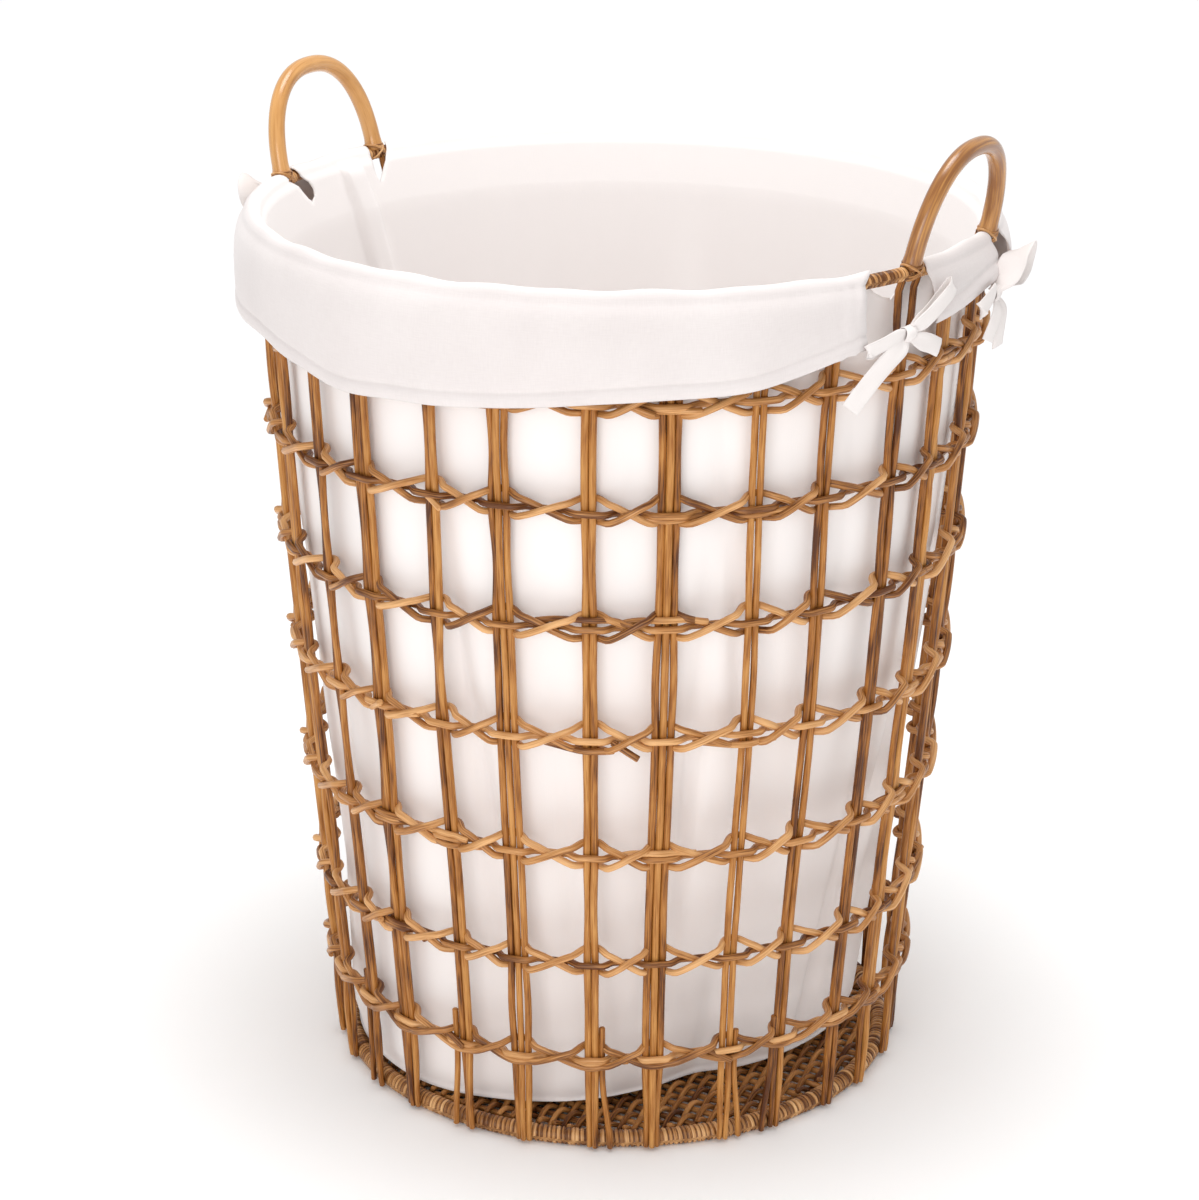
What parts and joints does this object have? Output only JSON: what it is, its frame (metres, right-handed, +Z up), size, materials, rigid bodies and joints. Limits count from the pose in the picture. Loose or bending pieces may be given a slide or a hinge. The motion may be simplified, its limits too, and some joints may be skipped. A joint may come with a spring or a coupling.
{
  "type": "woven laundry basket",
  "caption": "Tall round open-weave cane basket with looped handles and a removable cotton liner folded over its rim.",
  "frame": {"origin": "on the floor, under the middle of the round base", "axes": "+Z up; the two handles stand on the X axis, so +X points at one handle and +Y is across the opening"},
  "size_m": [0.5216, 0.5102, 0.6694],
  "materials": {
    "upright_cane": "satin honey-brown cane with darker streaks",
    "woven_cane": "satin golden cane",
    "wrapping_cane": "thin pale golden cane, satin",
    "pole_cane": "thick peeled cane, lacquered to a gloss",
    "floor_cane": "satin brown split cane",
    "cotton_cloth": "white plain-woven cotton, matt",
    "cotton_ribbon": "white cotton tape, matt"
  },
  "bodies": {
    "basket": {"band_1": "woven_cane", "band_2": "woven_cane", "band_3": "woven_cane", "band_4": "woven_cane", "band_5": "woven_cane", "band_6": "woven_cane", "band_7": "woven_cane", "base_hoop": "pole_cane", "base_warp": "floor_cane", "base_weft": "floor_cane", "base_wrap": "wrapping_cane", "handle_left": "pole_cane", "handle_right": "pole_cane", "lashing_left_back": "wrapping_cane", "lashing_left_front": "wrapping_cane", "lashing_right_back": "wrapping_cane", "lashing_right_front": "wrapping_cane", "rim_hoop": "pole_cane", "rim_wrap": "wrapping_cane", "stake_01": "upright_cane", "stake_02": "upright_cane", "stake_03": "upright_cane", "stake_04": "upright_cane", "stake_05": "upright_cane", "stake_06": "upright_cane", "stake_07": "upright_cane", "stake_08": "upright_cane", "stake_09": "upright_cane", "stake_10": "upright_cane", "stake_11": "upright_cane", "stake_12": "upright_cane", "stake_13": "upright_cane", "stake_14": "upright_cane", "stake_15": "upright_cane", "stake_16": "upright_cane", "stake_17": "upright_cane", "stake_18": "upright_cane", "stake_19": "upright_cane", "stake_20": "upright_cane", "stake_21": "upright_cane", "stake_22": "upright_cane", "stake_23": "upright_cane", "stake_24": "upright_cane", "stake_25": "upright_cane", "stake_26": "upright_cane", "stake_27": "upright_cane", "stake_28": "upright_cane"},
    "liner": {"bow_left_back": "cotton_ribbon", "bow_left_front": "cotton_ribbon", "bow_right_back": "cotton_ribbon", "bow_right_front": "cotton_ribbon", "cuff_back": "cotton_cloth", "cuff_front": "cotton_cloth", "liner_bottom": "cotton_cloth", "liner_wall": "cotton_cloth", "tab_left": "cotton_cloth", "tab_right": "cotton_cloth"}
  },
  "joints": [
    {"name": "liner_lift", "type": "slide", "parent": "basket", "child": "liner", "axis": [0, 0, 1], "range_m": [0, 0.68], "deforming": ["tab_left", "tab_right", "bow_left_back", "bow_left_front", "bow_right_back", "bow_right_front"]}
  ]
}
